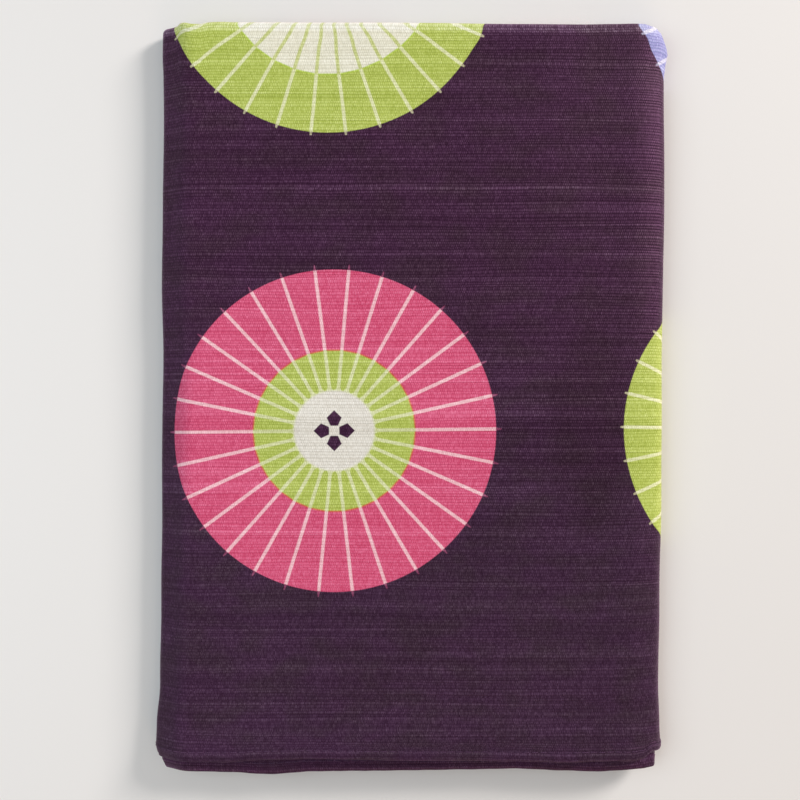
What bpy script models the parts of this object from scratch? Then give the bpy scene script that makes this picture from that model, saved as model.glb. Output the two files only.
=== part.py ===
"""A furoshiki: one printed cotton wrapping cloth, hemmed at both ends, folded flat.

The cloth is folded in half with its wrong side inside, hem to hem, which makes the closed top edge.
The doubled cloth is then folded in thirds like a letter: the right third goes under the front, and
the left third goes under that one.

X runs across the front, Y up to the closed top edge and Z up from the surface that it lies on. The
origin is the middle of the underside. Sizes are in millimetres, and the mesh is in metres.
"""

from math import cos, pi, radians, sin

import bmesh
import bpy
import numpy as np

MM = 0.001

# The folded pack
PACK_WIDTH = 170.2
PACK_LENGTH = 251.4
LAYER = 1.1  # one thickness of cloth, with its ribs and slubs
AIR = 0.6  # between two layers
PITCH = LAYER + AIR  # from the middle of one layer to the middle of the next

# The hems, turned twice and sewn
HEM_DEPTH = 3.9
HEM_LAYER = 1.4
HEM_STEP = 0.5  # the hem's inner edge falls to one thickness over this length
HEM_WAVES = 14.0  # the end of each half, which lies in waves

# The half fold, at the top edge
FRONT_HEM_SHORT = 2.7  # the front hem stops this far above the hem behind it
TOP_FOLD_RADIUS = PITCH / 2

# The letter fold, along the inner one of the two layers
RIGHT_FOLD_RADIUS = 1.1
LEFT_FOLD_RADIUS = 0.8
SHOULDER_RADIUS = 8.0  # where the front starts to fall towards the left fold
SHOULDER_ANGLE = 30.0
LEFT_DETAIL = 18.0  # the last of the front before that fall, divided finely for the top edge's waves
FIRST_FLAP_END = 11.5  # the first flap stops this far short of the left side
SECOND_FLAP_END = 8.0  # the second flap stops this far short of the right side

# How unevenly it lies: each row is a place, and how far the cloth is moved there
SIDES = (  # y, left side to the right, right side to the right, right fold down
    (126.0, 0.3, 1.6, 2.8),
    (117.5, 0.0, 2.8, 2.8),
    (111.0, 0.0, 1.7, 2.8),
    (96.0, 0.3, 1.3, 2.8),
    (69.0, 0.1, 1.2, 2.8),
    (42.0, -0.3, 0.8, 2.8),
    (10.0, 0.1, 0.6, 2.8),
    (-25.0, -0.4, 0.6, 2.8),
    (-71.0, -0.5, -0.1, 2.7),
    (-98.0, -1.0, -0.8, 2.6),
    (-112.0, -1.8, -0.8, 2.5),
    (-119.0, -1.7, 0.1, 2.6),
    (-126.0, -0.6, 0.2, 2.6),
)
TOP_EDGE = (  # x, up
    (-84.0, -0.8),
    (-78.0, -0.2),
    (-76.0, 0.9),
    (-72.8, -0.5),
    (-70.0, 0.6),
    (-67.0, 0.8),
    (-60.0, 0.2),
    (0.0, -0.1),
    (56.0, -0.8),
    (67.0, -0.3),
    (77.0, -0.1),
    (81.0, -0.8),
    (83.0, -2.2),
    (85.0, -4.6),
)
LAYERS = (  # along the letter fold, front hem up, hem behind it up, front hem off it, top fold up
    (0.0, 0.8, 0.4, 0.0, -1.1),
    (70.0, -0.4, 0.6, 0.0, -0.4),
    (140.0, 0.9, 0.0, 0.0, 0.0),
    (152.0, 1.4, 0.4, 0.0, 0.0),
    (159.0, 4.2, 0.6, 0.0, 0.0),
    (166.0, 1.4, 0.2, 0.0, 0.0),
    (178.0, 0.5, -0.3, 0.0, 0.0),
    (205.0, -0.3, 0.5, 0.2, 0.0),
    (238.0, -0.1, 0.0, 0.6, 0.0),
    (272.0, 0.1, -0.4, 1.0, 0.0),
    (288.0, -0.3, -1.0, 0.9, 0.0),
    (306.0, -0.8, -0.3, 0.3, 0.0),
    (322.0, 0.9, -0.9, 0.0, 0.0),
    (400.0, 0.5, -0.5, 0.0, -0.7),
    (480.0, -0.4, 0.3, 0.0, -1.6),
)
TOP_EDGE_REACH = 30.0  # the top edge's waves fade out over this length
PACK_SWELL = 0.12  # the turned hems spread the pack by this share of its height
PACK_SWELL_REACH = 20.0
FRONT_HEM_LIFT_REACH = 26.0

AUBERGINE = (0.045, 0.018, 0.045, 1.0)


def table(rows):
    """A table of numbers with its first column rising."""
    return np.array(sorted(rows))


def smooth(t):
    """0 below 0, 1 above 1 and a soft step between them."""
    t = np.clip(t, 0.0, 1.0)
    return t * t * (3 - 2 * t)


def soft_interp(at, rows, column):
    """The column's value at a place, with a level tangent in each row."""
    places, values = rows[:, 0], rows[:, column]
    at = np.clip(at, places[0], places[-1])
    after = np.clip(np.searchsorted(places, at), 1, len(places) - 1)
    share = smooth((at - places[after - 1]) / (places[after] - places[after - 1]))
    return values[after - 1] + share * (values[after] - values[after - 1])


def arc(radius, degrees):
    """The length of an arc."""
    return radius * radians(degrees)


def trace(start, segments):
    """Follows (length, left turn in degrees, steps) from start, heading along the first axis.

    Returns the points, the unit vectors to the right of the heading, and the lengths so far.
    """
    place = np.array(start, float)
    heading = 0.0
    run = 0.0
    points, rights, lengths = [place], [(sin(heading), -cos(heading))], [0.0]
    for length, turn, steps in segments:
        for _ in range(steps):
            half_turn = radians(turn) / steps / 2
            stretch = length / steps
            if half_turn:
                stretch *= sin(half_turn) / half_turn  # the chord of the arc
            heading += half_turn
            place = place + stretch * np.array((cos(heading), sin(heading)))
            heading += half_turn
            run += length / steps
            points.append(place)
            rights.append((sin(heading), -cos(heading)))
            lengths.append(run)
    return np.array(points), np.array(rights), np.array(lengths)


def half_fold():
    """The doubled cloth's section, from the inner hem over the top fold to the front hem: (y, height)
    of the middle of the cloth, the outward vectors and half the thickness. The inner layer is at
    height 0 and the front one at PITCH."""
    outer_bend = TOP_FOLD_RADIUS + LAYER / 2
    inner_length = PACK_LENGTH - outer_bend - HEM_WAVES
    front_length = inner_length - FRONT_HEM_SHORT
    to_waves_end = HEM_WAVES - HEM_DEPTH - HEM_STEP
    middle, outward, _ = trace(
        (-PACK_LENGTH / 2, 0.0),
        (
            (HEM_DEPTH, 0, 1),
            (HEM_STEP, 0, 1),
            (to_waves_end, 0, 1),
            (inner_length, 0, 9),
            (arc(TOP_FOLD_RADIUS, 180), 180, 8),
            (front_length, 0, 9),
            (to_waves_end, 0, 1),
            (HEM_STEP, 0, 1),
            (HEM_DEPTH, 0, 1),
        ),
    )
    half_layer = np.full(len(middle), LAYER / 2)
    half_layer[[0, 1, -2, -1]] = HEM_LAYER / 2
    return middle, outward, half_layer


def letter_fold():
    """The pack's section: (x, z) of the inner layer, from the first flap's free edge round the right
    fold, over the front, round the left fold and along under it to the second flap's free edge. Also
    the outward vectors, the lengths so far and how far right the outer layer's ends are drawn in."""
    outside = PITCH + LAYER / 2  # from the inner layer's middle to the pack's outer face
    floor_z = outside  # the second flap's inner layer
    flap_z = floor_z + 2 * PITCH
    front_z = flap_z + 2 * RIGHT_FOLD_RADIUS
    right_bend_x = PACK_WIDTH / 2 - outside - RIGHT_FOLD_RADIUS
    left_bend_x = -PACK_WIDTH / 2 + outside + LEFT_FOLD_RADIUS
    first_x = -PACK_WIDTH / 2 + FIRST_FLAP_END
    last_x = PACK_WIDTH / 2 - SECOND_FLAP_END

    slant = radians(SHOULDER_ANGLE)
    fall = front_z - floor_z - SHOULDER_RADIUS * (1 - cos(slant)) - LEFT_FOLD_RADIUS * (1 + cos(slant))
    slope = fall / sin(slant)
    slope_top_x = left_bend_x - LEFT_FOLD_RADIUS * sin(slant) + slope * cos(slant)
    front_end_x = slope_top_x + SHOULDER_RADIUS * sin(slant)
    middle, outward, run = trace(
        (first_x, flap_z),
        (
            (last_x - first_x, 0, 8),
            (right_bend_x - last_x, 0, 4),
            (arc(RIGHT_FOLD_RADIUS, 180), 180, 8),
            (right_bend_x - last_x, 0, 4),
            (last_x - front_end_x - LEFT_DETAIL, 0, 12),
            (LEFT_DETAIL, 0, 5),
            (arc(SHOULDER_RADIUS, SHOULDER_ANGLE), SHOULDER_ANGLE, 3),
            (slope, 0, 1),
            (arc(LEFT_FOLD_RADIUS, 180 - SHOULDER_ANGLE), 180 - SHOULDER_ANGLE, 7),
            (last_x - left_bend_x, 0, 9),
        ),
    )
    first_flap = np.clip(1 - run / (right_bend_x - first_x), 0, 1)
    second_flap = np.clip(1 - (run[-1] - run) / (last_x - left_bend_x), 0, 1)
    to_right = pi * PITCH * (first_flap - second_flap)
    return middle, outward, run, to_right


def settle(x, y, z):
    """Moves points of the evenly folded pack to where the cloth really lies."""
    sides = table(SIDES)
    outward = np.clip(x / (PACK_WIDTH / 2), -1, 1)
    left, right, sag = (soft_interp(y, sides, column) for column in (1, 2, 3))
    new_x = x + left * (1 - outward) / 2 + right * (1 + outward) / 2

    near_top = smooth(1 - (PACK_LENGTH / 2 - y) / TOP_EDGE_REACH)
    new_y = y + near_top * soft_interp(x, table(TOP_EDGE), 1)

    second_flap_end = PACK_WIDTH / 2 - SECOND_FLAP_END
    new_z = z - sag * smooth((x - second_flap_end) / SECOND_FLAP_END)
    near_hem = smooth(1 - (y + PACK_LENGTH / 2) / PACK_SWELL_REACH)
    new_z = new_z * (1 + PACK_SWELL * near_hem)
    return np.stack((new_x, new_y, np.maximum(new_z, 0)), -1)


def cloth_points():
    """The sheet's two faces as grids of points: [step along the letter fold, step along the half
    fold, outer or inner face, axis]."""
    section, section_out, half_layer = half_fold()
    fold, away, run, to_right = letter_fold()
    on_front_layer = smooth(section[:, 1] / PITCH)
    layers = table(LAYERS)
    front, inner, lift, top = (soft_interp(run, layers, column)[:, None] for column in (1, 2, 3, 4))
    hem_up = inner + (front - inner) * on_front_layer
    faces = []
    for side in (half_layer, -half_layer):
        height = section[:, 1] + side * section_out[:, 1]
        x = fold[:, None, 0] + away[:, None, 0] * height
        x = x + to_right[:, None] * on_front_layer
        z = fold[:, None, 1] + away[:, None, 1] * height
        y = np.broadcast_to(section[:, 0] + side * section_out[:, 0], x.shape)

        from_hem = y + PACK_LENGTH / 2
        near_top = smooth(1 - (PACK_LENGTH / 2 - y) / TOP_EDGE_REACH)
        moved_y = y + hem_up * smooth(1 - from_hem / HEM_WAVES) + top * near_top
        moved_z = z + lift * on_front_layer * smooth(1 - from_hem / FRONT_HEM_LIFT_REACH)
        faces.append(settle(x, moved_y, moved_z))
    return np.stack(faces, 2)


def centred(points):
    """The points with the middle of their underside at the origin."""
    low, high = points.reshape(-1, 3).min(0), points.reshape(-1, 3).max(0)
    return points - np.array(((low[0] + high[0]) / 2, (low[1] + high[1]) / 2, low[2]))


def skin(points):
    """A closed mesh between the sheet's two faces, with a strip along each of its four edges."""
    mesh = bpy.data.meshes.new("furoshiki_cloth")
    bm = bmesh.new()
    verts = [[[bm.verts.new(p * MM) for p in pair] for pair in line] for line in points]
    outer, inner = 0, 1
    steps, across = len(verts), len(verts[0])
    for i in range(steps - 1):
        here, there = verts[i], verts[i + 1]
        for j in range(across - 1):
            bm.faces.new((here[j][outer], there[j][outer], there[j + 1][outer], here[j + 1][outer]))
            bm.faces.new((here[j][inner], here[j + 1][inner], there[j + 1][inner], there[j][inner]))
        for j in (0, across - 1):
            bm.faces.new((here[j][outer], here[j][inner], there[j][inner], there[j][outer]))
    for line in (verts[0], verts[-1]):
        for j in range(across - 1):
            bm.faces.new((line[j][outer], line[j + 1][outer], line[j + 1][inner], line[j][inner]))
    bmesh.ops.recalc_face_normals(bm, faces=bm.faces)
    bmesh.ops.triangulate(bm, faces=bm.faces)
    bm.to_mesh(mesh)
    bm.free()
    mesh.shade_smooth()
    mesh.set_sharp_from_angle(angle=pi / 4)
    return mesh


def cotton():
    """Dark printed cotton."""
    material = bpy.data.materials.new("printed_cotton")
    material.use_nodes = True
    shader = material.node_tree.nodes["Principled BSDF"]
    shader.inputs["Base Color"].default_value = AUBERGINE
    shader.inputs["Roughness"].default_value = 0.9
    shader.inputs["Metallic"].default_value = 0.0
    return material


def main():
    for old in list(bpy.data.objects):
        bpy.data.objects.remove(old)
    mesh = skin(centred(cloth_points()))
    mesh.materials.append(cotton())
    bpy.context.scene.collection.objects.link(bpy.data.objects.new("furoshiki_cloth", mesh))


main()
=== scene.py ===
"""The looks of a folded furoshiki: one thin printed cotton sheet on the folds of its solid, and its sewing.

Shapes are worked out in millimetres, in the part's own frame, and the meshes are in metres. The print
and the weave follow flat coordinates, which each point of the sheet keeps: millimetres across and up the
cloth as it was before it was folded.
"""

from math import ceil, cos, pi, radians, sin

import bpy
import numpy as np
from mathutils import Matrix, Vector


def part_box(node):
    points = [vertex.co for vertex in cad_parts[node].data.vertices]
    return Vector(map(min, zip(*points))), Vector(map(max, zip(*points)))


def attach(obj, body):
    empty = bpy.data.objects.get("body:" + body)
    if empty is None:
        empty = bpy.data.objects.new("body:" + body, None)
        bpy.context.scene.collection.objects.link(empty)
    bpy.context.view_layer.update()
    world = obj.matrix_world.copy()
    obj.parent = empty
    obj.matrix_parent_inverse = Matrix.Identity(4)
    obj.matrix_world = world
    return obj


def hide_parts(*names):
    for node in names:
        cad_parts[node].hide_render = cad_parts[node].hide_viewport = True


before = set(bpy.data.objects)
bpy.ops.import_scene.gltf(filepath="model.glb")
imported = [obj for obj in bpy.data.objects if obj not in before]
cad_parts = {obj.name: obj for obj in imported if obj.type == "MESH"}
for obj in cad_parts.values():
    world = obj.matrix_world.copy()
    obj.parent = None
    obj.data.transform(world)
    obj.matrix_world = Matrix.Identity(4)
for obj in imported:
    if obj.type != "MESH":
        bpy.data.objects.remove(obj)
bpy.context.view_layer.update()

MM = 0.001
NODE = "furoshiki_cloth"

# The folds, with the sizes of the solid
PACK_WIDTH = 170.2
PACK_LENGTH = 251.4
LAYER = 1.1  # the solid's cloth
PITCH = 1.7  # from one layer to the next
HEM_WAVES = 14.0  # the hems' waves fade out over this length
FRONT_HEM_SHORT = 2.7  # the front hem lies this far above the one behind it
TOP_FOLD_RADIUS = PITCH / 2
RIGHT_FOLD_RADIUS = 1.1
LEFT_FOLD_RADIUS = 0.8
SHOULDER_RADIUS = 8.0
SHOULDER_ANGLE = 30.0
FIRST_FLAP_END = 11.5  # its free edge, from the left side
SECOND_FLAP_END = 8.0  # its free edge, from the right side
SIDES = (  # y, left side to the right, right side to the right, right fold down
    (126.0, 0.4, 1.4, 2.8),
    (120.5, 0.2, 2.7, 2.8),
    (115.5, 0.1, 1.9, 2.8),
    (110.0, 0.3, 1.45, 2.8),
    (96.0, 0.5, 1.5, 2.8),
    (69.0, 0.1, 1.7, 2.8),
    (42.0, -0.05, 1.2, 2.8),
    (10.0, 0.3, 0.7, 2.8),
    (-25.0, -0.15, 0.7, 2.8),
    (-71.0, -0.3, -0.1, 2.7),
    (-98.0, -0.65, -0.55, 2.6),
    (-112.0, -1.9, -0.1, 2.5),
    (-118.2, -2.1, 0.15, 2.6),
    (-120.4, -1.7, -0.15, 2.6),
    (-122.0, -1.0, -0.25, 2.6),
    (-123.6, -2.1, -0.3, 2.6),
    (-125.2, -1.2, -0.25, 2.6),
    (-127.0, -0.6, -0.2, 2.6),
)
TOP_EDGE = (  # x, up
    (-84.0, -0.35),
    (-81.0, -0.45),
    (-79.4, -0.3),
    (-78.4, 0.45),
    (-77.2, 0.5),
    (-76.0, 0.2),
    (-74.4, -0.25),
    (-72.0, -0.4),
    (-68.0, 0.35),
    (-64.0, 0.45),
    (-60.0, 0.3),
    (0.0, 0.1),
    (56.0, -0.5),
    (67.0, -0.3),
    (77.0, -0.1),
    (81.0, -0.8),
    (83.0, -2.2),
    (85.0, -4.6),
)
LAYERS = (  # along the letter fold, front hem up, hem behind it up, front hem off it, top fold up
    (0.0, 0.8, 0.4, 0.0, -1.1),
    (70.0, -0.4, 0.6, 0.0, -0.4),
    (140.0, 0.9, 0.0, 0.0, 0.0),
    (152.0, 1.4, 0.4, 0.0, 0.0),
    (159.0, 4.2, 0.6, 0.0, 0.0),
    (163.0, 1.6, 0.3, 0.0, 0.0),
    (166.0, 1.1, 0.2, 0.0, 0.0),
    (172.0, 1.2, -0.2, 0.0, 0.0),
    (178.0, 1.1, -0.5, 0.0, 0.0),
    (187.0, 0.8, -0.15, 0.1, 0.0),
    (205.0, 1.4, 0.5, 0.3, 0.0),
    (220.0, 1.5, 0.25, 0.5, 0.0),
    (238.0, 1.65, 0.0, 0.7, 0.0),
    (258.0, 2.2, -0.2, 0.9, 0.0),
    (272.0, 2.5, -0.4, 0.95, 0.0),
    (288.0, 2.1, -1.35, 0.8, 0.0),
    (302.0, 1.0, -0.6, 0.4, 0.0),
    (313.0, 1.0, -0.35, 0.1, 0.0),
    (320.0, 0.95, -0.55, 0.0, 0.0),
    (326.0, 0.9, -0.9, 0.0, 0.0),
    (332.0, 0.9, -0.8, 0.0, 0.0),
    (400.0, 0.5, -0.5, 0.0, -0.7),
    (480.0, -0.4, 0.3, 0.0, -1.6),
)
TOP_EDGE_REACH = 30.0  # the top edge's waves fade out over this length
PACK_SWELL = 0.12  # the turned hems spread the pack by this share of its height
PACK_SWELL_REACH = 20.0  # and that fades out over this length
FRONT_HEM_LIFT_REACH = 26.0  # the front hem's lift fades out over this length
SOLID_MIDDLE = (-0.06, -0.04)  # the middle of the folded solid's box, where its fold lines are worked out

# The thin sheet
CLOTH = 0.8
LOFT = (LAYER - CLOTH) / 2  # its right side lies on the solid's outer face
SELVEDGE = 0.4  # its free edges that aren't hemmed, as a share of its thickness
HEM = (  # from the hem's edge, half its thickness: a round edge, the seam's dent and the step down
    (-0.35, 0.2),
    (-0.2, 0.44),
    (0.3, 0.6),
    (1.2, 0.66),
    (2.2, 0.66),
    (3.2, 0.62),
    (3.7, 0.5),
    (4.1, 0.58),
    (4.5, 0.42),
    (5.0, 0.4),
)
HEM_DEPTH = 4.3  # where the turned part ends on the wrong side
SEAM = 3.7  # the stitch line, from the hem's edge

# The longest steps of the mesh: along the letter fold, and from hem to hem
FLAP_STEP = 6.0
FLAP_NEAR_RIGHT_STEP = 1.2
RIGHT_FOLD_STEP = 0.27
FRONT_NEAR_RIGHT_STEP = 0.9
FRONT_STEP = 2.0
SHOULDER_STEP = 0.7
LEFT_FOLD_STEP = 0.2
INNER_HEM_ROW_STEP = 1.2
INNER_ROW_STEP = 5.0
TOP_FOLD_ROW_STEP = 0.25
FRONT_ROW_STEP = 1.35
FRONT_HEM_ROW_STEP = 1.0

# How it gives, beside what the solid has
DROOP_REACH = 13.0  # the right fold's fall starts this far in, and steepens towards the fold
TOP_ROUNDING = 0.3 / 11.3  # the top edge falls by this share of its height
TOP_ROUNDING_REACH = 9.0  # the fall starts this far below it
PAST_TOP = 1.1  # and it goes on to this share of its reach, just over the edge
CORNER_FROM = 80.0  # at the upper right corner the cloth is stretched and turned over the fold from here on
CORNER_STRETCH = 1.8  # the print has slipped this far across at the end of its reach
CORNER_REACH = 4.5
PAST_CORNER = 1.2  # and it goes on to this share of the reach
CORNER_TURNED = 0.75  # the share of the top edge's fall that has turned over it
CORNER_TURN_LEAD = 2.0  # it starts to turn this far before that place
CORNER_TURN_REACH = 3.0  # and has turned after this length
WANDER = 0.2  # each layer lies this far up or down
WANDER_WAVES = 9
WANDER_LENGTHS = (28.0, 95.0)  # shortest and longest wave
WANDER_GAIN = 1.8  # brings the waves' mean to about -1 to 1
WANDER_HELD = 0.5  # the share of it that the hems hold back
PUCKER = 0.09  # the hem ripples between its stitches
PUCKER_LENGTH = 8.5
PUCKER_SHIFT = 2.0  # its ripples are uneven: how far they shift, and over what length
PUCKER_SHIFT_LENGTH = 17.0
PUCKER_REACH = 12.0
SEED = 7

# The sewing
STITCH_LENGTH = 2.2
STITCH_GAP = 0.6
THREAD = 0.24
THREAD_SIDES = 6
STITCH_PROUD = 0.05  # the middle of a stitch lies this far off the cloth
STITCH_SHAPE = ((0.0, 0.35), (0.12, 0.85), (0.5, 1.0), (0.88, 0.85), (1.0, 0.35))  # along it, its thickness

# The print
UP = 500.0
UMBRELLA = (218.7, 111.7)  # the centre of the one on the front, across and up the flat cloth
REPEAT = (151.4, 155.4)
COLUMN_LEAN = 0.0145  # the print lies a little askew: its columns lean this far left in each millimetre up
ROW_TILT = 0.0079  # and its rows rise this far in each millimetre to the right
RIBS = 30
RIM = 54.1  # its radius, and the hub's
HUB = 13.5
RIB_HALF_WIDTH = (0.57, 0.55)  # at the hub and at the rim
RIB_FILLET = 2.4  # how far a rib's foot spreads into the hub
TIP_HALF_WIDTH = 0.46  # at the rim
TIP_CLOSING = 0.17  # how much it narrows in each millimetre
LONG_TIP, SHORT_TIP = 56.0, 55.2  # where it ends, from the centre
PETAL = ((1.7, 1.25), (4.4, 2.5), (6.9, 0.0))  # along it, half its width
INK_EDGE = 0.2  # how softly a colour ends
HUB_EDGE = 0.6  # and how softly the ribs turn white at the hub
OVERPRINT = 0.3  # half the width of the line where two inks meet
OVERPRINT_SHARE = 0.7  # how much of the second ink shows there

# Colours of the light that the dry ink sends back, in linear red, green and blue
AUBERGINE = (0.0376, 0.0138, 0.0338)
BROWN_AUBERGINE = (0.0306, 0.0144, 0.0250)
HEM_GREY = (0.96, 1.18, 1.05)  # towards the hem the ground is this much greyer
HEM_GREY_UP = (110.0, 60.0)  # the middle of that change, and half its length
DEEP_PLACE = (304.0, 114.0)  # at one place the ground's dye is deeper: across and up
DEEP_REACH = (13.0, 32.0)  # half its width and half its height
DEEP_EDGE = 0.8  # how softly it ends, as a share of the reach squared
DEEP_DYE = (0.74, 0.76, 0.70)
WHITE = (0.76, 0.72, 0.63)
CREAM_WHITE = (0.81, 0.78, 0.62)
LIME = (0.448, 0.535, 0.101)
PALE_LIME = (0.67, 0.70, 0.37)
WASHED_LIME = (0.59, 0.63, 0.25)
CREAM = (0.72, 0.74, 0.41)
DIM_CREAM = (0.48, 0.44, 0.28)
PINK = (0.67, 0.096, 0.19)
PALE_PINK = (0.89, 0.51, 0.55)
DIM_PINK = (0.25, 0.06, 0.12)
VIOLET = (0.305, 0.328, 0.59)
PALE_VIOLET = (0.62, 0.62, 0.76)
DIM_VIOLET = (0.30, 0.29, 0.38)
LIME_OVER = (1.0, 1.15, 0.3)
WRONG_SIDE = (0.23, 0.17, 0.21)
GHOST = 0.45  # how much of the print is lost on the wrong side

PINK_UMBRELLA = {
    "outer": PINK,
    "outer_ribs": PALE_PINK,
    "inner_radius": 27.2,
    "inner": LIME,
    "inner_ribs": PALE_LIME,
    "tips": DIM_PINK,
    "tip_end": LONG_TIP,
}
LIME_UMBRELLA = {
    "outer": LIME,
    "outer_ribs": CREAM,
    "inner_radius": 27.2,
    "inner": WHITE,
    "inner_ribs": LIME,
    "tips": DIM_CREAM,
    "tip_end": SHORT_TIP,
}
WHITE_UMBRELLA = {**LIME_UMBRELLA, "inner_radius": 35.2, "inner": CREAM_WHITE, "inner_ribs": WASHED_LIME}
VIOLET_UMBRELLA = {
    **LIME_UMBRELLA,
    "outer": VIOLET,
    "outer_ribs": PALE_VIOLET,
    "inner_ribs": VIOLET,
    "tips": DIM_VIOLET,
}
UMBRELLAS = (  # each row from the left, the lowest row first
    (VIOLET_UMBRELLA, PINK_UMBRELLA, LIME_UMBRELLA),
    (PINK_UMBRELLA, WHITE_UMBRELLA, VIOLET_UMBRELLA),
    (LIME_UMBRELLA, VIOLET_UMBRELLA, PINK_UMBRELLA),
)
EVEN = (0.0, 0.0, 0.0, 0.0)
NUDGES = (  # how each umbrella lies off its place: across, up, degrees turned left and growth in percent
    (EVEN, (0.0, 0.0, 0.15, 0.0), (-0.25, -1.1, -1.7, 0.4)),
    (EVEN, (-0.7, 0.0, -0.4, 2.3), (2.7, 0.0, 0.2, 1.5)),
    (EVEN, EVEN, EVEN),
)
LARGEST_RADIUS = 100.0  # a ramp holds values from 0 to 1: radii are kept as shares of this
LARGEST_NUDGE = 10.0  # and nudges as shares between minus and plus this

# The weave
RIB_PITCH = 1.0
WARP_PITCH = 0.36
TONE_DYE_AND_SHADE = 0.06  # for each 1 of dark tone the colour is deepened this much: the yarns' own deeper dye, and painted shade in the weave's grooves
TONE_SHADE = 0.026  # and the colour is this much darker: painted shade in the weave's grooves, and the yarns' own darker tone
RELIEF = 0.045  # how high 1 of relief is
PRESSED = 0.4  # towards the hem the weave is this much flatter
PRESSED_UP = (75.0, 30.0)  # the middle of that change, and half its length
CLEAR = 1.01  # how clearly the weave shows, and how much less towards the hem
LESS_CLEAR = 0.05
LESS_CLEAR_UP = (160.0, 35.0)
TOP_FOLD_UP = 247.4  # the fold's crest, on the flat cloth
TOP_FOLD_WEAR_AND_HIGHLIGHT = 1.35  # half the width of its line of wear with a painted highlight
WEAR_AND_HIGHLIGHT_EDGE = 0.6  # how softly that ends
WEAR_AND_HIGHLIGHT = 0.34  # how much lighter it is, in the mean: dye worn off, and a painted highlight on the crest

# Noises: the size of their features across and up, and a seed
DYE_CLOUDS = ((15.0, 10.0), 31.0)  # where the ground is browner
DRIFT = ((80.0, 12.0), 3.1)  # where the ribs lie off their even places
THICKNESS = ((70.0, 3.0), 12.4)  # which of them are thicker
STRENGTH = ((35.0, 0.31), 8.7)  # how far each rib stands out
BANDS = ((400.0, 1.1), 27.0)  # long light and dark lines
OWN_TONE = ((200.0, 0.13), 4.4)  # each rib's own light and dark
WARP_WAVE = ((4.0, 30.0), 6.2)  # where the warp ends lie off their even places
PATCHES = ((2.5, 4.0), 17.0)  # where the warp ends show
SLUBS = ((260.0, 1.9), 21.3)
CLOUDS = ((30.0, 22.0), 9.2)  # soft light and dark patches

# What the noises do
BROWNEST, PUREST = 0.36, 0.6  # the ground is brown below the first and purple above the second
DRIFT_SIZE = 2.2
THICKNESS_SIZE = 1.1
WARP_WAVE_SIZE = 0.9
STRENGTH_SPREAD = (2.2, -0.1)  # their strength, from the noise: a factor and a start
PATCH_SPREAD = (2.4, -0.2)
SLUB_STOPS = ((0.0, 0.45), (0.56, 0.45), (0.6, 0.1), (0.645, 1.0), (0.8, 1.0))  # even, then dark, then light

# Shader inputs beside the colour
COTTON = {
    "Roughness": 0.53,
    "Specular IOR Level": 0.34,
    "Specular Tint": (0.9, 0.3, 0.72),
    "Sheen Weight": 0.22,
    "Sheen Roughness": 0.4,
    "Sheen Tint": (0.9, 0.35, 0.76),
}
SEWING_THREAD = {
    "Roughness": 0.6,
    "Specular IOR Level": 0.3,
    "Specular Tint": (0.9, 0.4, 0.8),
    "Sheen Weight": 0.1,
    "Sheen Tint": (0.9, 0.45, 0.85),
}
THREAD_COLOURS = ((0.055, 0.026, 0.055), (0.10, 0.052, 0.10))  # between and on its twists: painted shade between the twists and painted light on them
TWIST_SCALE = 900.0


def table(rows):
    """A table of numbers with its first column rising."""
    return np.array(sorted(rows))


def smooth(t):
    """0 below 0, 1 above 1 and a soft step between them."""
    t = np.clip(t, 0.0, 1.0)
    return t * t * (3 - 2 * t)


def soft_interp(at, rows, column):
    """The column's value at a place, with a level tangent in each row."""
    places, values = rows[:, 0], rows[:, column]
    at = np.clip(at, places[0], places[-1])
    after = np.clip(np.searchsorted(places, at), 1, len(places) - 1)
    share = smooth((at - places[after - 1]) / (places[after] - places[after - 1]))
    return values[after - 1] + share * (values[after] - values[after - 1])


def arc(radius, degrees):
    """The length of an arc."""
    return radius * radians(degrees)


def trace(start, segments):
    """Follows (length, left turn in degrees, longest step) from start, heading along the first axis.

    Returns the points, the unit vectors to the right of the heading, and the lengths so far.
    """
    place = np.array(start, float)
    heading = 0.0
    run = 0.0
    points, rights, lengths = [place], [(sin(heading), -cos(heading))], [0.0]
    for length, turn, longest in segments:
        steps = ceil(length / longest)
        for _ in range(steps):
            half_turn = radians(turn) / steps / 2
            stretch = length / steps
            if half_turn:
                stretch *= sin(half_turn) / half_turn  # the chord of the arc
            heading += half_turn
            place = place + stretch * np.array((cos(heading), sin(heading)))
            heading += half_turn
            run += length / steps
            points.append(place)
            rights.append((sin(heading), -cos(heading)))
            lengths.append(run)
    return np.array(points), np.array(rights), np.array(lengths)


def half_fold():
    """The doubled cloth's section, from the inner hem over the top fold to the front hem: (y, height)
    of the middle of the cloth, the outward vectors, the lengths so far and half the thickness."""
    hem = table(HEM)
    outer_bend = TOP_FOLD_RADIUS + LAYER / 2
    inner_length = PACK_LENGTH - outer_bend - HEM_WAVES
    front_length = inner_length - FRONT_HEM_SHORT
    to_waves_end = HEM_WAVES - hem[-1, 0]
    hem_steps = [(step, 0, step) for step in np.diff(hem[:, 0])]
    middle, outward, run = trace(
        (-PACK_LENGTH / 2 + hem[0, 0], 0.0),
        (
            *hem_steps,
            (to_waves_end, 0, INNER_HEM_ROW_STEP),
            (inner_length, 0, INNER_ROW_STEP),
            (arc(TOP_FOLD_RADIUS, 180), 180, TOP_FOLD_ROW_STEP),
            (front_length, 0, FRONT_ROW_STEP),
            (to_waves_end, 0, FRONT_HEM_ROW_STEP),
            *hem_steps[::-1],
        ),
    )
    half_layer = np.full(len(middle), CLOTH / 2)
    half_layer[: len(hem)] = hem[:, 1]
    half_layer[-len(hem) :] = hem[::-1, 1]
    return middle, outward, run, half_layer


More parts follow.
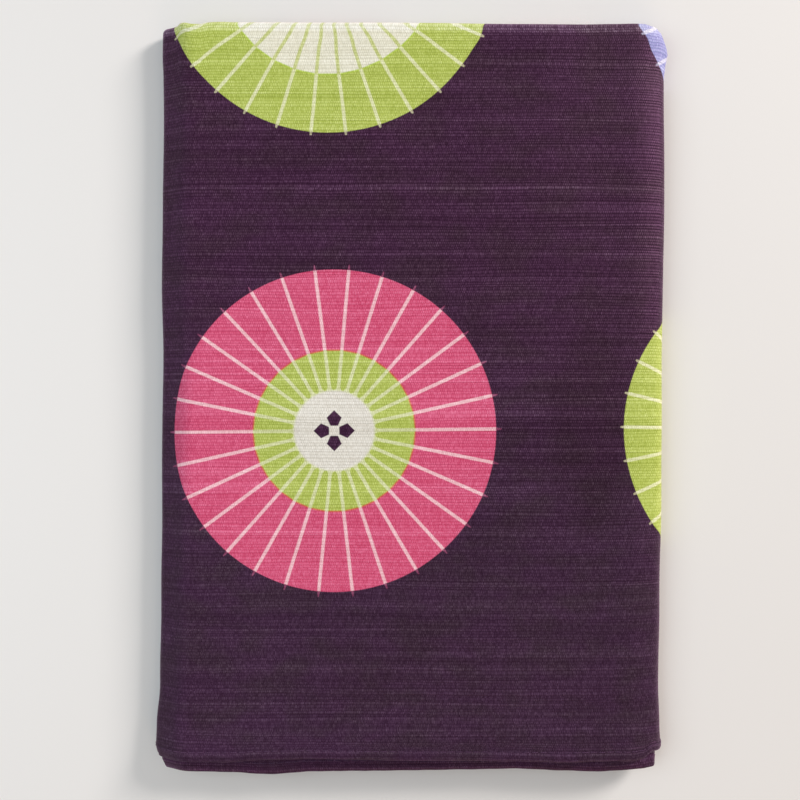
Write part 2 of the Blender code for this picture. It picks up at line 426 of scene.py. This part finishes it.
def letter_fold():
    """The pack's section: (x, z) of the inner layer, from the first flap's free edge round the right
    fold, over the front, round the left fold and along under it to the second flap's free edge. Also
    the outward vectors, the lengths so far and how far right the outer layer's ends are drawn in."""
    outside = PITCH + LAYER / 2
    floor_z = outside
    flap_z = floor_z + 2 * PITCH
    front_z = flap_z + 2 * RIGHT_FOLD_RADIUS
    right_bend_x = PACK_WIDTH / 2 - outside - RIGHT_FOLD_RADIUS
    left_bend_x = -PACK_WIDTH / 2 + outside + LEFT_FOLD_RADIUS
    first_x = -PACK_WIDTH / 2 + FIRST_FLAP_END
    last_x = PACK_WIDTH / 2 - SECOND_FLAP_END

    slant = radians(SHOULDER_ANGLE)
    fall = front_z - floor_z - SHOULDER_RADIUS * (1 - cos(slant)) - LEFT_FOLD_RADIUS * (1 + cos(slant))
    slope = fall / sin(slant)
    slope_top_x = left_bend_x - LEFT_FOLD_RADIUS * sin(slant) + slope * cos(slant)
    front_end_x = slope_top_x + SHOULDER_RADIUS * sin(slant)
    left_turn = 180 - SHOULDER_ANGLE
    middle, outward, run = trace(
        (first_x, flap_z),
        (
            (last_x - first_x, 0, FLAP_STEP),
            (right_bend_x - last_x, 0, FLAP_NEAR_RIGHT_STEP),
            (arc(RIGHT_FOLD_RADIUS, 180), 180, RIGHT_FOLD_STEP),
            (right_bend_x - last_x, 0, FRONT_NEAR_RIGHT_STEP),
            (last_x - front_end_x, 0, FRONT_STEP),
            (arc(SHOULDER_RADIUS, SHOULDER_ANGLE), SHOULDER_ANGLE, SHOULDER_STEP),
            (slope, 0, SHOULDER_STEP),
            (arc(LEFT_FOLD_RADIUS, left_turn), left_turn, LEFT_FOLD_STEP),
            (last_x - left_bend_x, 0, FLAP_STEP),
        ),
    )
    first_flap = np.clip(1 - run / (right_bend_x - first_x), 0, 1)
    second_flap = np.clip(1 - (run[-1] - run) / (last_x - left_bend_x), 0, 1)
    to_right = pi * PITCH * (first_flap - second_flap)
    return middle, outward, run, to_right


def settle(x, y, z):
    """Moves points of the evenly folded pack to where the cloth really lies."""
    sides = table(SIDES)
    outward = np.clip(x / (PACK_WIDTH / 2), -1, 1)
    left, right, sag = (soft_interp(y, sides, column) for column in (1, 2, 3))
    new_x = x + left * (1 - outward) / 2 + right * (1 + outward) / 2

    near_top = smooth(1 - (PACK_LENGTH / 2 - y) / TOP_EDGE_REACH)
    new_y = y + near_top * soft_interp(x, table(TOP_EDGE), 1)

    new_z = z - sag * np.clip(1 - (PACK_WIDTH / 2 - x) / DROOP_REACH, 0, 1) ** 2
    near_hem = smooth(1 - (y + PACK_LENGTH / 2) / PACK_SWELL_REACH)
    new_z = new_z * (1 + PACK_SWELL * near_hem)
    return np.stack((new_x, new_y, np.maximum(new_z, 0)), -1)


def wander(across, up):
    """How far each place of the cloth lies off its even layer."""
    random = np.random.default_rng(SEED)
    total = np.zeros_like(across)
    for _ in range(WANDER_WAVES):
        length = random.uniform(*WANDER_LENGTHS)
        angle, start = random.uniform(0, 2 * pi, 2)
        total += np.sin(2 * pi * (across * cos(angle) + up * sin(angle)) / length + start)
    return total / WANDER_WAVES * WANDER_GAIN


def rounded(y, z):
    """Lets the stack give at its top edge."""
    to_top = np.clip(1 - (PACK_LENGTH / 2 - y) / TOP_ROUNDING_REACH, 0, PAST_TOP)
    return z * (1 - TOP_ROUNDING * to_top**2)


def slip(x, y):
    """How far across and up the cloth has slipped over its upper right corner."""
    near_top = smooth(1 - (PACK_LENGTH / 2 - y) / TOP_EDGE_REACH)
    past = np.clip((x - CORNER_FROM) / CORNER_REACH, 0, PAST_CORNER)
    turning = smooth((x - CORNER_FROM + CORNER_TURN_LEAD) / CORNER_TURN_REACH)
    turned = CORNER_TURNED * soft_interp(x, table(TOP_EDGE), 1) * turning
    return np.stack((CORNER_STRETCH * past**2 * near_top, turned * near_top), -1)


def cloth_points():
    """The sheet's two faces as grids of points, [step along the letter fold, step along the half fold,
    right or wrong side, axis], and the flat coordinates, [step, step, across or up]."""
    section, section_out, section_run, half_layer = half_fold()
    fold, away, run, to_right = letter_fold()
    on_front_layer = smooth(section[:, 1] / PITCH)
    layers = table(LAYERS)
    front, inner, lift, top = (soft_interp(run, layers, column)[:, None] for column in (1, 2, 3, 4))
    hem_up = inner + (front - inner) * on_front_layer
    drawn_in = to_right[:, None] * on_front_layer

    middle_x = fold[:, None, 0] + away[:, None, 0] * section[:, 1] + drawn_in
    middle_z = fold[:, None, 1] + away[:, None, 1] * section[:, 1]
    steps = np.hypot(np.diff(middle_x, axis=0), np.diff(middle_z, axis=0))
    across = np.zeros_like(middle_x)
    across[:-1] = steps[::-1].cumsum(axis=0)[::-1]
    up = np.broadcast_to(section_run[-1] - section_run, across.shape)

    from_edge = np.minimum(section_run, section_run[-1] - section_run)
    near_edge = smooth(1 - from_edge / PUCKER_REACH)
    relief = WANDER * wander(across, up) * (1 - WANDER_HELD * near_edge)
    shift = PUCKER_SHIFT * np.sin(across / PUCKER_SHIFT_LENGTH)
    relief = relief + PUCKER * np.sin(2 * pi * across / PUCKER_LENGTH + shift) * near_edge
    selvedge = np.ones(len(run))
    selvedge[[0, -1]] = SELVEDGE

    faces = []
    for side in (1, -1):
        offset = LOFT + side * selvedge[:, None] * half_layer
        height = section[:, 1] + offset * section_out[:, 1] + relief
        x = fold[:, None, 0] + away[:, None, 0] * height + drawn_in
        z = fold[:, None, 1] + away[:, None, 1] * height
        y = section[:, 0] + offset * section_out[:, 0]

        from_hem = y + PACK_LENGTH / 2
        near_top = smooth(1 - (PACK_LENGTH / 2 - y) / TOP_EDGE_REACH)
        moved_y = y + hem_up * smooth(1 - from_hem / HEM_WAVES) + top * near_top
        moved_z = z + lift * on_front_layer * smooth(1 - from_hem / FRONT_HEM_LIFT_REACH)
        faces.append(settle(x, moved_y, rounded(moved_y, moved_z)))
        if side == 1:
            flat = np.stack((across, up), -1) + slip(x, moved_y)
    return np.stack(faces, 2), flat


def in_part_frame(points, box):
    """The points, in millimetres, where the part's frame has them, and down on the box's underside."""
    floor_z = box[0][2] / MM
    return points + np.array((-SOLID_MIDDLE[0], -SOLID_MIDDLE[1], floor_z - points[..., 2].min()))


def grid_faces(steps, rows):
    """Quads of a closed sheet whose points are numbered [step, row, side]."""
    number = np.arange(steps * rows * 2).reshape(steps, rows, 2)
    right, wrong = number[..., 0], number[..., 1]

    def quads(a, b, c, d):
        return np.stack((a, b, c, d), -1).reshape(-1, 4)

    return np.concatenate(
        (
            quads(right[:-1, :-1], right[1:, :-1], right[1:, 1:], right[:-1, 1:]),
            quads(wrong[:-1, :-1], wrong[:-1, 1:], wrong[1:, 1:], wrong[1:, :-1]),
            quads(right[1:, 0], right[:-1, 0], wrong[:-1, 0], wrong[1:, 0]),
            quads(right[:-1, -1], right[1:, -1], wrong[1:, -1], wrong[:-1, -1]),
            quads(right[0, :-1], right[0, 1:], wrong[0, 1:], wrong[0, :-1]),
            quads(right[-1, 1:], right[-1, :-1], wrong[-1, :-1], wrong[-1, 1:]),
        )
    )


def new_piece(name, points, faces):
    """A smooth mesh object from points in millimetres."""
    mesh = bpy.data.meshes.new(name)
    mesh.from_pydata((np.asarray(points) * MM).tolist(), [], faces)
    mesh.shade_smooth()
    piece = bpy.data.objects.new(name, mesh)
    bpy.context.scene.collection.objects.link(piece)
    return piece


def cloth_sheet(points, flat):
    """The cloth as one closed sheet. flat_mm keeps each point's flat coordinates and its side."""
    steps, rows = points.shape[:2]
    piece = new_piece("printed_cloth", points.reshape(-1, 3), grid_faces(steps, rows).tolist())
    keep = np.zeros((steps, rows, 2, 3))
    keep[..., :2] = flat[:, :, None]
    keep[:, :, 1, 2] = 1.0
    layer = piece.data.attributes.new("flat_mm", "FLOAT_VECTOR", "POINT")
    layer.data.foreach_set("vector", keep.ravel())
    return piece


def seam_row(rows_run, from_edge):
    """The mesh's row that lies this far from the end."""
    return int(np.argmin(np.abs(rows_run - from_edge)))


def stitch(centre, lift, first):
    """One short bowed thread along its middle points: its points, and its faces numbered from first on."""
    along = centre[-1] - centre[0]
    along /= np.linalg.norm(along)
    beside = np.cross(along, lift)
    verts, faces = [], []
    for (_, thickness), middle, up_way, side_way in zip(STITCH_SHAPE, centre, lift, beside):
        middle = middle + up_way * STITCH_PROUD * (2 * thickness - 1)
        radius = THREAD / 2 * thickness
        for angle in np.linspace(0, 2 * pi, THREAD_SIDES, endpoint=False):
            verts.append(middle + radius * (cos(angle) * up_way + sin(angle) * side_way))
    last = first + (len(STITCH_SHAPE) - 1) * THREAD_SIDES
    for ring in range(first, last, THREAD_SIDES):
        for side in range(THREAD_SIDES):
            a, b = ring + side, ring + (side + 1) % THREAD_SIDES
            faces.append((a, b, b + THREAD_SIDES, a + THREAD_SIDES))
    faces.append(tuple(range(first + THREAD_SIDES - 1, first - 1, -1)))
    faces.append(tuple(range(last, last + THREAD_SIDES)))
    return verts, faces


def along_line(at, run, values):
    """The values at places along a line, whose points lie at the lengths in run."""
    return np.stack([np.interp(at, run, values[:, axis]) for axis in range(3)], -1)


def stitches(points, flat):
    """Both hems' stitches, on both sides of the cloth, as one mesh."""
    up = flat[0, :, 1]
    verts, faces = [], []
    for from_edge in (SEAM, up[0] - SEAM):
        row = seam_row(up, from_edge)
        for side in (0, 1):
            line = points[::-1, row, side]
            off = line - points[::-1, row, 1 - side]
            off = off / np.linalg.norm(off, axis=1)[:, None]
            run = np.concatenate(([0], np.linalg.norm(np.diff(line, axis=0), axis=1).cumsum()))
            for start in np.arange(STITCH_GAP, run[-1] - STITCH_LENGTH, STITCH_LENGTH + STITCH_GAP):
                at = start + STITCH_LENGTH * np.array([place for place, _ in STITCH_SHAPE])
                lift = along_line(at, run, off)
                lift /= np.linalg.norm(lift, axis=1)[:, None]
                new_verts, new_faces = stitch(along_line(at, run, line), lift, len(verts))
                verts += new_verts
                faces += new_faces
    return new_piece("hem_stitches", verts, faces)


class Dye:
    """Adds nodes to a material. A value is a number, a colour or another node's output."""

    def __init__(self, name):
        self.material = bpy.data.materials.new(name)
        self.material.use_nodes = True
        self.tree = self.material.node_tree
        self.shader = self.tree.nodes["Principled BSDF"]

    def node(self, kind, **settings):
        node = self.tree.nodes.new(kind)
        for name, value in settings.items():
            setattr(node, name, value)
        return node

    def put(self, socket, value):
        if isinstance(value, bpy.types.NodeSocket):
            self.tree.links.new(value, socket)
        elif isinstance(value, tuple) and len(value) == 3 and socket.type == "RGBA":
            socket.default_value = (*value, 1.0)
        else:
            socket.default_value = value

    def surface(self, colour, settings):
        """Gives the shader its colour and its other inputs."""
        self.put(self.shader.inputs["Base Color"], colour)
        for name, value in settings.items():
            self.put(self.shader.inputs[name], value)

    def math(self, operation, *values):
        node = self.node("ShaderNodeMath", operation=operation)
        for socket, value in zip(node.inputs, values):
            self.put(socket, value)
        return node.outputs[0]

    def total(self, *terms):
        """The sum of (factor, value) pairs."""
        out = 0.0
        for factor, value in terms:
            out = self.math("MULTIPLY_ADD", value, factor, out)
        return out

    def below(self, value, limit, softness=INK_EDGE):
        """1 where the value is below the limit and 0 above it, with a soft step."""
        node = self.node("ShaderNodeMapRange", interpolation_type="SMOOTHSTEP")
        self.put(node.inputs["Value"], self.math("SUBTRACT", value, limit))
        self.put(node.inputs["From Min"], -softness)
        self.put(node.inputs["From Max"], softness)
        self.put(node.inputs["To Min"], 1.0)
        self.put(node.inputs["To Max"], 0.0)
        return node.outputs["Result"]

    def mix(self, share, first, second, blend="MIX"):
        node = self.node("ShaderNodeMix", data_type="RGBA", blend_type=blend)
        colour_inputs = [socket for socket in node.inputs if socket.type == "RGBA"]
        self.put(node.inputs["Factor"], share)
        self.put(colour_inputs[0], first)
        self.put(colour_inputs[1], second)
        return next(socket for socket in node.outputs if socket.type == "RGBA")

    def ramp(self, value, stops, interpolation="LINEAR"):
        """A colour ramp from (place, colour) pairs; a number stands for a grey."""
        node = self.node("ShaderNodeValToRGB")
        ramp = node.color_ramp
        ramp.interpolation = interpolation
        while len(ramp.elements) < len(stops):
            ramp.elements.new(1.0)
        for element, (place, colour) in zip(ramp.elements, stops):
            element.position = place
            element.color = (*colour, 1.0) if isinstance(colour, tuple) else (colour, colour, colour, 1.0)
        self.put(node.inputs["Fac"], value)
        return node.outputs["Color"]

    def deepen(self, colour, power):
        """The colour with more or less of its dye."""
        node = self.node("ShaderNodeGamma")
        self.put(node.inputs["Color"], colour)
        self.put(node.inputs["Gamma"], power)
        return node.outputs["Color"]

    def signed(self, value):
        """0 to 1 spread over -1 to 1."""
        return self.math("MULTIPLY_ADD", value, 2.0, -1.0)

    def white_noise(self, first, second):
        """A random value from 0 to 1 for each pair of numbers."""
        place = self.node("ShaderNodeCombineXYZ")
        self.put(place.inputs["X"], first)
        self.put(place.inputs["Y"], second)
        node = self.node("ShaderNodeTexWhiteNoise", noise_dimensions="2D")
        self.put(node.inputs["Vector"], place.outputs[0])
        return node.outputs["Value"]

    def noise(self, across, up, sizes, seed, detail=1.0):
        """Noise from 0 to 1 with features of these sizes across and up, in millimetres."""
        place = self.node("ShaderNodeCombineXYZ")
        self.put(place.inputs["X"], self.math("DIVIDE", across, sizes[0]))
        self.put(place.inputs["Y"], self.math("DIVIDE", up, sizes[1]))
        self.put(place.inputs["Z"], seed)
        node = self.node("ShaderNodeTexNoise")
        self.put(node.inputs["Vector"], place.outputs[0])
        self.put(node.inputs["Scale"], 1.0)
        self.put(node.inputs["Detail"], detail)
        return node.outputs["Fac"]


def cell_place(dye, across, up):
    """Where a place lies in the repeat: off its cell's middle, the cell's row, and its number as a share."""
    x = dye.math("SUBTRACT", across, UMBRELLA[0])
    y = dye.math("SUBTRACT", up, UMBRELLA[1])
    lean_x = dye.math("MULTIPLY_ADD", y, COLUMN_LEAN, x)
    lean_y = dye.math("MULTIPLY_ADD", x, -ROW_TILT, y)
    column = dye.math("FLOOR", dye.math("ADD", dye.math("DIVIDE", lean_x, REPEAT[0]), 1.5))
    row = dye.math("FLOOR", dye.math("ADD", dye.math("DIVIDE", lean_y, REPEAT[1]), 0.5))
    x = dye.math("MULTIPLY_ADD", dye.math("SUBTRACT", 1.0, column), REPEAT[0], lean_x)
    y = dye.math("MULTIPLY_ADD", row, -REPEAT[1], lean_y)
    columns, rows = len(UMBRELLAS[0]), len(UMBRELLAS)
    cell = dye.math("MULTIPLY_ADD", row, float(columns), column)
    cell = dye.math("DIVIDE", dye.math("ADD", cell, 0.5), float(columns * rows))
    return x, y, row, cell


def in_cells(dye, cell, grid, value_of):
    """A constant ramp with each cell's own value."""
    entries = [entry for row in grid for entry in row]
    stops = [(number / len(entries), value_of(entry)) for number, entry in enumerate(entries)]
    return dye.ramp(cell, stops, "CONSTANT")


def cell_radius(dye, cell, part):
    """Each cell's own radius of this name."""
    share = in_cells(dye, cell, UMBRELLAS, lambda umbrella: umbrella[part] / LARGEST_RADIUS)
    return dye.math("MULTIPLY", share, LARGEST_RADIUS)


def cell_nudge(dye, cell, part):
    """Each cell's own nudge: part 0 is across, 1 up, 2 its turn and 3 its growth."""
    span = 2 * LARGEST_NUDGE
    share = in_cells(dye, cell, NUDGES, lambda nudge: nudge[part] / span + 0.5)
    return dye.math("MULTIPLY_ADD", share, span, -LARGEST_NUDGE)


def nudged(dye, x, y, cell):
    """The place as its umbrella has it, once that is moved and grown."""
    size = dye.math("MULTIPLY_ADD", cell_nudge(dye, cell, 3), 0.01, 1.0)
    x = dye.math("DIVIDE", dye.math("SUBTRACT", x, cell_nudge(dye, cell, 0)), size)
    y = dye.math("DIVIDE", dye.math("SUBTRACT", y, cell_nudge(dye, cell, 1)), size)
    return x, y


def umbrella_colours(dye, across, up):
    """The print: the flat cloth's colour without its weave."""
    x, y, row, cell = cell_place(dye, across, up)
    x, y = nudged(dye, x, y, cell)

    def of_cell(part):
        return in_cells(dye, cell, UMBRELLAS, lambda umbrella: umbrella[part])

    radius = dye.math("SQRT", dye.math("MULTIPLY_ADD", x, x, dye.math("MULTIPLY", y, y)))
    sector = dye.math("MULTIPLY", dye.math("ARCTAN2", y, x), RIBS / (2 * pi))
    sector = dye.math("MULTIPLY_ADD", cell_nudge(dye, cell, 2), -RIBS / 360, sector)
    from_rib = dye.math("SUBTRACT", sector, dye.math("FLOOR", dye.math("ADD", sector, 0.5)))
    rib_angle = dye.math("MULTIPLY", from_rib, 2 * pi / RIBS)
    rib_distance = dye.math("ABSOLUTE", dye.math("MULTIPLY", radius, dye.math("SINE", rib_angle)))
    between = dye.math("SUBTRACT", dye.math("ABSOLUTE", rib_angle), pi / RIBS)
    chord = dye.math("MULTIPLY", radius, dye.math("DIVIDE", dye.math("COSINE", between), cos(pi / RIBS)))

    on_row = dye.math("GREATER_THAN", row, -0.5)  # no umbrellas lie below the lowest row
    in_rim = dye.math("MULTIPLY", on_row, dye.below(radius, RIM))
    inner_radius = cell_radius(dye, cell, "inner_radius")
    in_inner = dye.below(chord, inner_radius)
    meeting = dye.below(dye.math("ABSOLUTE", dye.math("SUBTRACT", chord, inner_radius)), OVERPRINT)
    meeting = dye.math("MULTIPLY", meeting, OVERPRINT_SHARE)
    outer = of_cell("outer")
    colour = dye.mix(in_rim, ground_colour(dye, across, up), outer)
    colour = dye.mix(in_inner, colour, of_cell("inner"))
    colour = dye.mix(meeting, colour, dye.mix(1.0, outer, LIME_OVER, "MULTIPLY"))

    ribs = dye.mix(in_inner, of_cell("outer_ribs"), of_cell("inner_ribs"))
    ribs = dye.mix(dye.below(radius, HUB, HUB_EDGE), ribs, WHITE)
    on_ribs = dye.math("MULTIPLY", in_rim, ribs_and_hub(dye, radius, rib_distance))
    colour = dye.mix(on_ribs, colour, ribs)

    in_tips = dye.math("MULTIPLY", on_row, dye.below(radius, cell_radius(dye, cell, "tip_end")))
    tip = dye.math("MULTIPLY", in_tips, rib_tips(dye, radius, rib_distance))
    tip = dye.math("MULTIPLY", tip, dye.math("SUBTRACT", 1.0, in_rim))
    colour = dye.mix(tip, colour, of_cell("tips"))
    return dye.mix(petals(dye, x, y), colour, AUBERGINE)


def ribs_and_hub(dye, radius, rib_distance):
    """1 on the ribs and on the hub, which a fillet joins."""
    widening = (RIB_HALF_WIDTH[1] - RIB_HALF_WIDTH[0]) / (RIM - HUB)
    half_width = dye.math("MULTIPLY_ADD", radius, widening, RIB_HALF_WIDTH[0] - HUB * widening)
    to_rib = dye.math("SUBTRACT", rib_distance, half_width)
    to_hub = dye.math("SUBTRACT", radius, HUB)
    return dye.below(dye.math("SMOOTH_MIN", to_rib, to_hub, RIB_FILLET), 0.0)


def rib_tips(dye, radius, rib_distance):
    """1 on the ribs' narrowing tips."""
    past_rim = dye.math("SUBTRACT", radius, RIM)
    half_width = dye.math("MULTIPLY_ADD", past_rim, -TIP_CLOSING, TIP_HALF_WIDTH)
    return dye.below(rib_distance, half_width)


def ground_colour(dye, across, up):
    """The aubergine ground: browner in clouds, greyer towards the hem, and deeper at one place."""
    uneven = dye.noise(across, up, *DYE_CLOUDS, 2.0)
    aubergine = dye.ramp(uneven, ((BROWNEST, BROWN_AUBERGINE), (PUREST, AUBERGINE)))
    greyer = dye.mix(1.0, aubergine, HEM_GREY, "MULTIPLY")
    aubergine = dye.mix(dye.below(up, *HEM_GREY_UP), aubergine, greyer)
    deeper = dye.mix(1.0, aubergine, DEEP_DYE, "MULTIPLY")
    return dye.mix(deep_place(dye, across, up), aubergine, deeper)


def deep_place(dye, across, up):
    """1 in the middle of the place where the dye is deeper, and 0 well outside it."""
    x = dye.math("DIVIDE", dye.math("SUBTRACT", across, DEEP_PLACE[0]), DEEP_REACH[0])
    y = dye.math("DIVIDE", dye.math("SUBTRACT", up, DEEP_PLACE[1]), DEEP_REACH[1])
    from_middle = dye.math("MULTIPLY_ADD", x, x, dye.math("MULTIPLY", y, y))
    return dye.below(from_middle, 1.0, DEEP_EDGE)


def petals(dye, x, y):
    """1 on the four petals at the middle of an umbrella."""
    (foot, foot_half), (widest, widest_half), (end, _) = PETAL
    x, y = dye.math("ABSOLUTE", x), dye.math("ABSOLUTE", y)
    along, beside = dye.math("MAXIMUM", x, y), dye.math("MINIMUM", x, y)
    opening = (widest_half - foot_half) / (widest - foot)
    closing = widest_half / (end - widest)
    first_side = dye.math("MULTIPLY_ADD", along, opening, foot_half - foot * opening)
    second_side = dye.math("MULTIPLY_ADD", along, -closing, end * closing)
    side = dye.math("MINIMUM", first_side, second_side)
    on_petal = dye.below(beside, side)
    return dye.math("MULTIPLY", on_petal, dye.below(foot, along))


def weave(dye, across, up):
    """The relief of the weave, and its tone: above 0 where it is lighter than the plain print. The ribs' part
    of the tone is painted shade in the grooves and painted light on the ribs' tops; the rest is the yarns'
    own light and dark.

    Fine warp ends cover ribs of thick weft. Some ribs are thicker, and slubs lie along them. The ribs are
    pressed flatter towards the hem.
    """
    strong = dye.math("MULTIPLY_ADD", dye.below(up, *PRESSED_UP), -PRESSED, 1.0)
    clear = dye.math("MULTIPLY_ADD", dye.below(up, *LESS_CLEAR_UP), -LESS_CLEAR, CLEAR)
    place, rib_number, rib = weft_ribs(dye, across, up)
    rib = dye.math("MULTIPLY", rib, strong)
    band = dye.math("MULTIPLY", dye.signed(dye.noise(across, up, *BANDS)), strong)
    own = dye.signed(dye.noise(across, rib_number, *OWN_TONE))
    ends, grain, fluff = warp_ends(dye, across, up, place, rib_number)
    ends = dye.math("MULTIPLY", ends, strong)
    slub = dye.noise(across, dye.math("MULTIPLY", place, RIB_PITCH), *SLUBS, detail=0.0)
    slub = dye.signed(dye.ramp(slub, SLUB_STOPS))
    cloud = dye.signed(dye.noise(across, up, *CLOUDS, 2.0))

    relief = dye.total((0.6, rib), (0.4, band), (0.4, slub), (0.4, own), (0.3, ends), (0.25, grain))
    tone = dye.total(
        (1.3, rib),
        (2.4, band),
        (1.0, slub),
        (1.6, own),
        (1.3, ends),
        (1.5, grain),
        (1.5, fluff),
        (0.8, cloud),
    )
    return dye.math("MULTIPLY", relief, clear), dye.math("MULTIPLY", tone, clear)


def weft_ribs(dye, across, up):
    """The weft: how many ribs up a place lies, the rib's number, and its round top between its grooves."""
    drift = dye.noise(across, up, *DRIFT)
    thickness = dye.noise(across, up, *THICKNESS)
    drifted = dye.total((DRIFT_SIZE, drift), (THICKNESS_SIZE, thickness), (1.0, up))
    place = dye.math("DIVIDE", drifted, RIB_PITCH)
    rib_number = dye.math("FLOOR", place)
    rib = dye.math("MULTIPLY", dye.math("COSINE", dye.math("MULTIPLY", place, 2 * pi)), -1.0)
    strength = dye.noise(across, rib_number, *STRENGTH)
    rib = dye.math("MULTIPLY", rib, dye.math("MULTIPLY_ADD", strength, *STRENGTH_SPREAD))
    return place, rib_number, rib


def warp_ends(dye, across, up, place, rib_number):
    """The warp: its ends, each over every second rib, their own tone, and the fluff on them."""
    wave = dye.noise(across, up, *WARP_WAVE)
    warp_place = dye.math("DIVIDE", dye.math("MULTIPLY_ADD", wave, WARP_WAVE_SIZE, across), WARP_PITCH)
    over = dye.math("MULTIPLY", dye.math("ADD", warp_place, rib_number), pi)
    patch = dye.noise(across, up, *PATCHES)
    ends = dye.math("MULTIPLY", dye.math("COSINE", over), dye.math("MULTIPLY_ADD", patch, *PATCH_SPREAD))
    grain = dye.signed(dye.white_noise(dye.math("FLOOR", warp_place), rib_number))
    half_place = dye.math("FLOOR", dye.math("MULTIPLY", place, 2.0))
    fluff = dye.signed(dye.white_noise(dye.math("FLOOR", dye.math("ADD", warp_place, 0.5)), half_place))
    return ends, grain, fluff


def printed_cotton():
    """Printed slub cotton: ribs across, slubs, a print on the right side and its ghost on the other."""
    dye = Dye("printed_slub_cotton")
    flat = dye.node("ShaderNodeAttribute", attribute_name="flat_mm")
    split = dye.node("ShaderNodeSeparateXYZ")
    dye.put(split.inputs[0], flat.outputs["Vector"])
    across, up, wrong_side = split.outputs

    relief, tone = weave(dye, across, up)
    print_colour = umbrella_colours(dye, across, up)
    ghost = dye.mix(GHOST, print_colour, WRONG_SIDE)
    from_hem = dye.math("MINIMUM", up, dye.math("SUBTRACT", UP, up))
    shows_wrong_side = dye.math("MULTIPLY", wrong_side, dye.math("GREATER_THAN", from_hem, HEM_DEPTH))
    print_colour = dye.mix(shows_wrong_side, print_colour, ghost)
    # paler where the weave's tone is light, with painted shade in its grooves, and on the top fold's crest,
    # which has wear and a painted highlight
    dye_lost_and_painted_light = dye.total((TONE_DYE_AND_SHADE, tone), (1.0, fold_wear_and_highlight(dye, across, up)))
    colour = dye.deepen(print_colour, dye.math("SUBTRACT", 1.0, dye_lost_and_painted_light))
    # the tone darkens and lightens the colour: painted shade in the weave's grooves, painted light on the
    # ribs' tops, and the yarns' own tone
    colour = dye.mix(1.0, colour, dye.math("MULTIPLY_ADD", tone, TONE_SHADE, 1.0), "MULTIPLY")

    bump = dye.node("ShaderNodeBump")
    dye.put(bump.inputs["Strength"], 1.0)
    dye.put(bump.inputs["Distance"], RELIEF * MM)
    dye.put(bump.inputs["Height"], relief)
    dye.put(dye.shader.inputs["Normal"], bump.outputs["Normal"])
    dye.surface(colour, COTTON)
    return dye.material


def fold_wear_and_highlight(dye, across, up):
    """How much lighter the crest of the top fold is made, partly by dye worn off and partly by a painted
    highlight where it catches the light: on each warp end from 3/4 to 5/4 of the mean.
    """
    from_crest = dye.math("ABSOLUTE", dye.math("SUBTRACT", up, TOP_FOLD_UP))
    near = dye.below(from_crest, TOP_FOLD_WEAR_AND_HIGHLIGHT, WEAR_AND_HIGHLIGHT_EDGE)
    end = dye.white_noise(dye.math("FLOOR", dye.math("DIVIDE", across, WARP_PITCH)), 0.5)
    return dye.math("MULTIPLY", near, dye.math("MULTIPLY_ADD", end, WEAR_AND_HIGHLIGHT / 2, WEAR_AND_HIGHLIGHT * 0.75))


def thread():
    """Aubergine sewing thread, a little paler than the cloth."""
    dye = Dye("sewing_thread")
    place = dye.node("ShaderNodeTexCoord")
    twist = dye.node("ShaderNodeTexWave", wave_type="BANDS", bands_direction="DIAGONAL")
    dye.put(twist.inputs["Vector"], place.outputs["Object"])
    dye.put(twist.inputs["Scale"], TWIST_SCALE)
    # the twist's bands are painted shade and painted light along the thread
    dye.surface(dye.mix(twist.outputs["Fac"], *THREAD_COLOURS), SEWING_THREAD)
    return dye.material


def plain(name, colour, roughness):
    """A plain material for the floor."""
    dye = Dye(name)
    dye.surface(colour, {"Roughness": roughness})
    return dye.material


def build_cloth():
    """The sheet and its stitches, in place of the solid."""
    points, flat = cloth_points()
    points = in_part_frame(points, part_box(NODE))
    cloth = cloth_sheet(points, flat)
    cloth.data.materials.append(printed_cotton())
    sewing = stitches(points, flat)
    sewing.data.materials.append(thread())
    for piece in (cloth, sewing):
        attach(piece, "root")
    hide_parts(NODE)


def build_floor():
    """A wide pale surface to lie on."""
    half = 1.5  # metres
    corners = [(-half, -half, 0), (half, -half, 0), (half, half, 0), (-half, half, 0)]
    mesh = bpy.data.meshes.new("floor")
    mesh.from_pydata(corners, [], [(0, 1, 2, 3)])
    floor = bpy.data.objects.new("floor", mesh)
    bpy.context.scene.collection.objects.link(floor)
    mesh.materials.append(plain("pale_floor", colour=(0.84, 0.802, 0.776), roughness=0.7))


def area_light(name, place, size, power, colour):
    """A square light that looks at the middle of the cloth. Its place and size are in metres."""
    data = bpy.data.lights.new(name, "AREA")
    data.shape = "SQUARE"
    data.size = size
    data.energy = power
    data.color = colour
    light = bpy.data.objects.new(name, data)
    light.location = place
    light.rotation_euler = light.location.to_track_quat("Z", "Y").to_euler()
    bpy.context.scene.collection.objects.link(light)


def light_scene():
    """A low key from the right, a cool fill from the left, a warm bounce beyond the hems and an even room."""
    area_light("key", place=(1.36, 0.93, 0.70), size=0.48, power=32.5, colour=(1.0, 0.965, 0.93))
    area_light("fill", place=(-0.45, 0.0, 0.52), size=0.5, power=2.0, colour=(0.76, 0.9, 0.98))
    area_light("bounce", place=(0.25, -0.95, 0.42), size=0.5, power=1.8, colour=(1.0, 0.72, 0.48))
    world = bpy.data.worlds.new("room")
    world.use_nodes = True
    background = world.node_tree.nodes["Background"]
    background.inputs["Color"].default_value = (0.98, 0.98, 1.0, 1.0)
    background.inputs["Strength"].default_value = 0.31
    bpy.context.scene.world = world
    bpy.context.scene.view_settings.view_transform = "Standard"


def place_camera():
    """Straight above, as in the photo: its place in millimetres, and its focal length in pixels."""
    place = (-3.6, -1.3, 316.1)
    focal_pixels, photo_pixels = 912.0, 800.0
    data = bpy.data.cameras.new("camera")
    data.sensor_width = 36.0
    data.lens = data.sensor_width * focal_pixels / photo_pixels
    data.clip_start = 0.01
    camera = bpy.data.objects.new("camera", data)
    camera.location = [value * MM for value in place]
    bpy.context.scene.collection.objects.link(camera)
    bpy.context.scene.camera = camera


place_camera()
light_scene()
build_floor()
build_cloth()
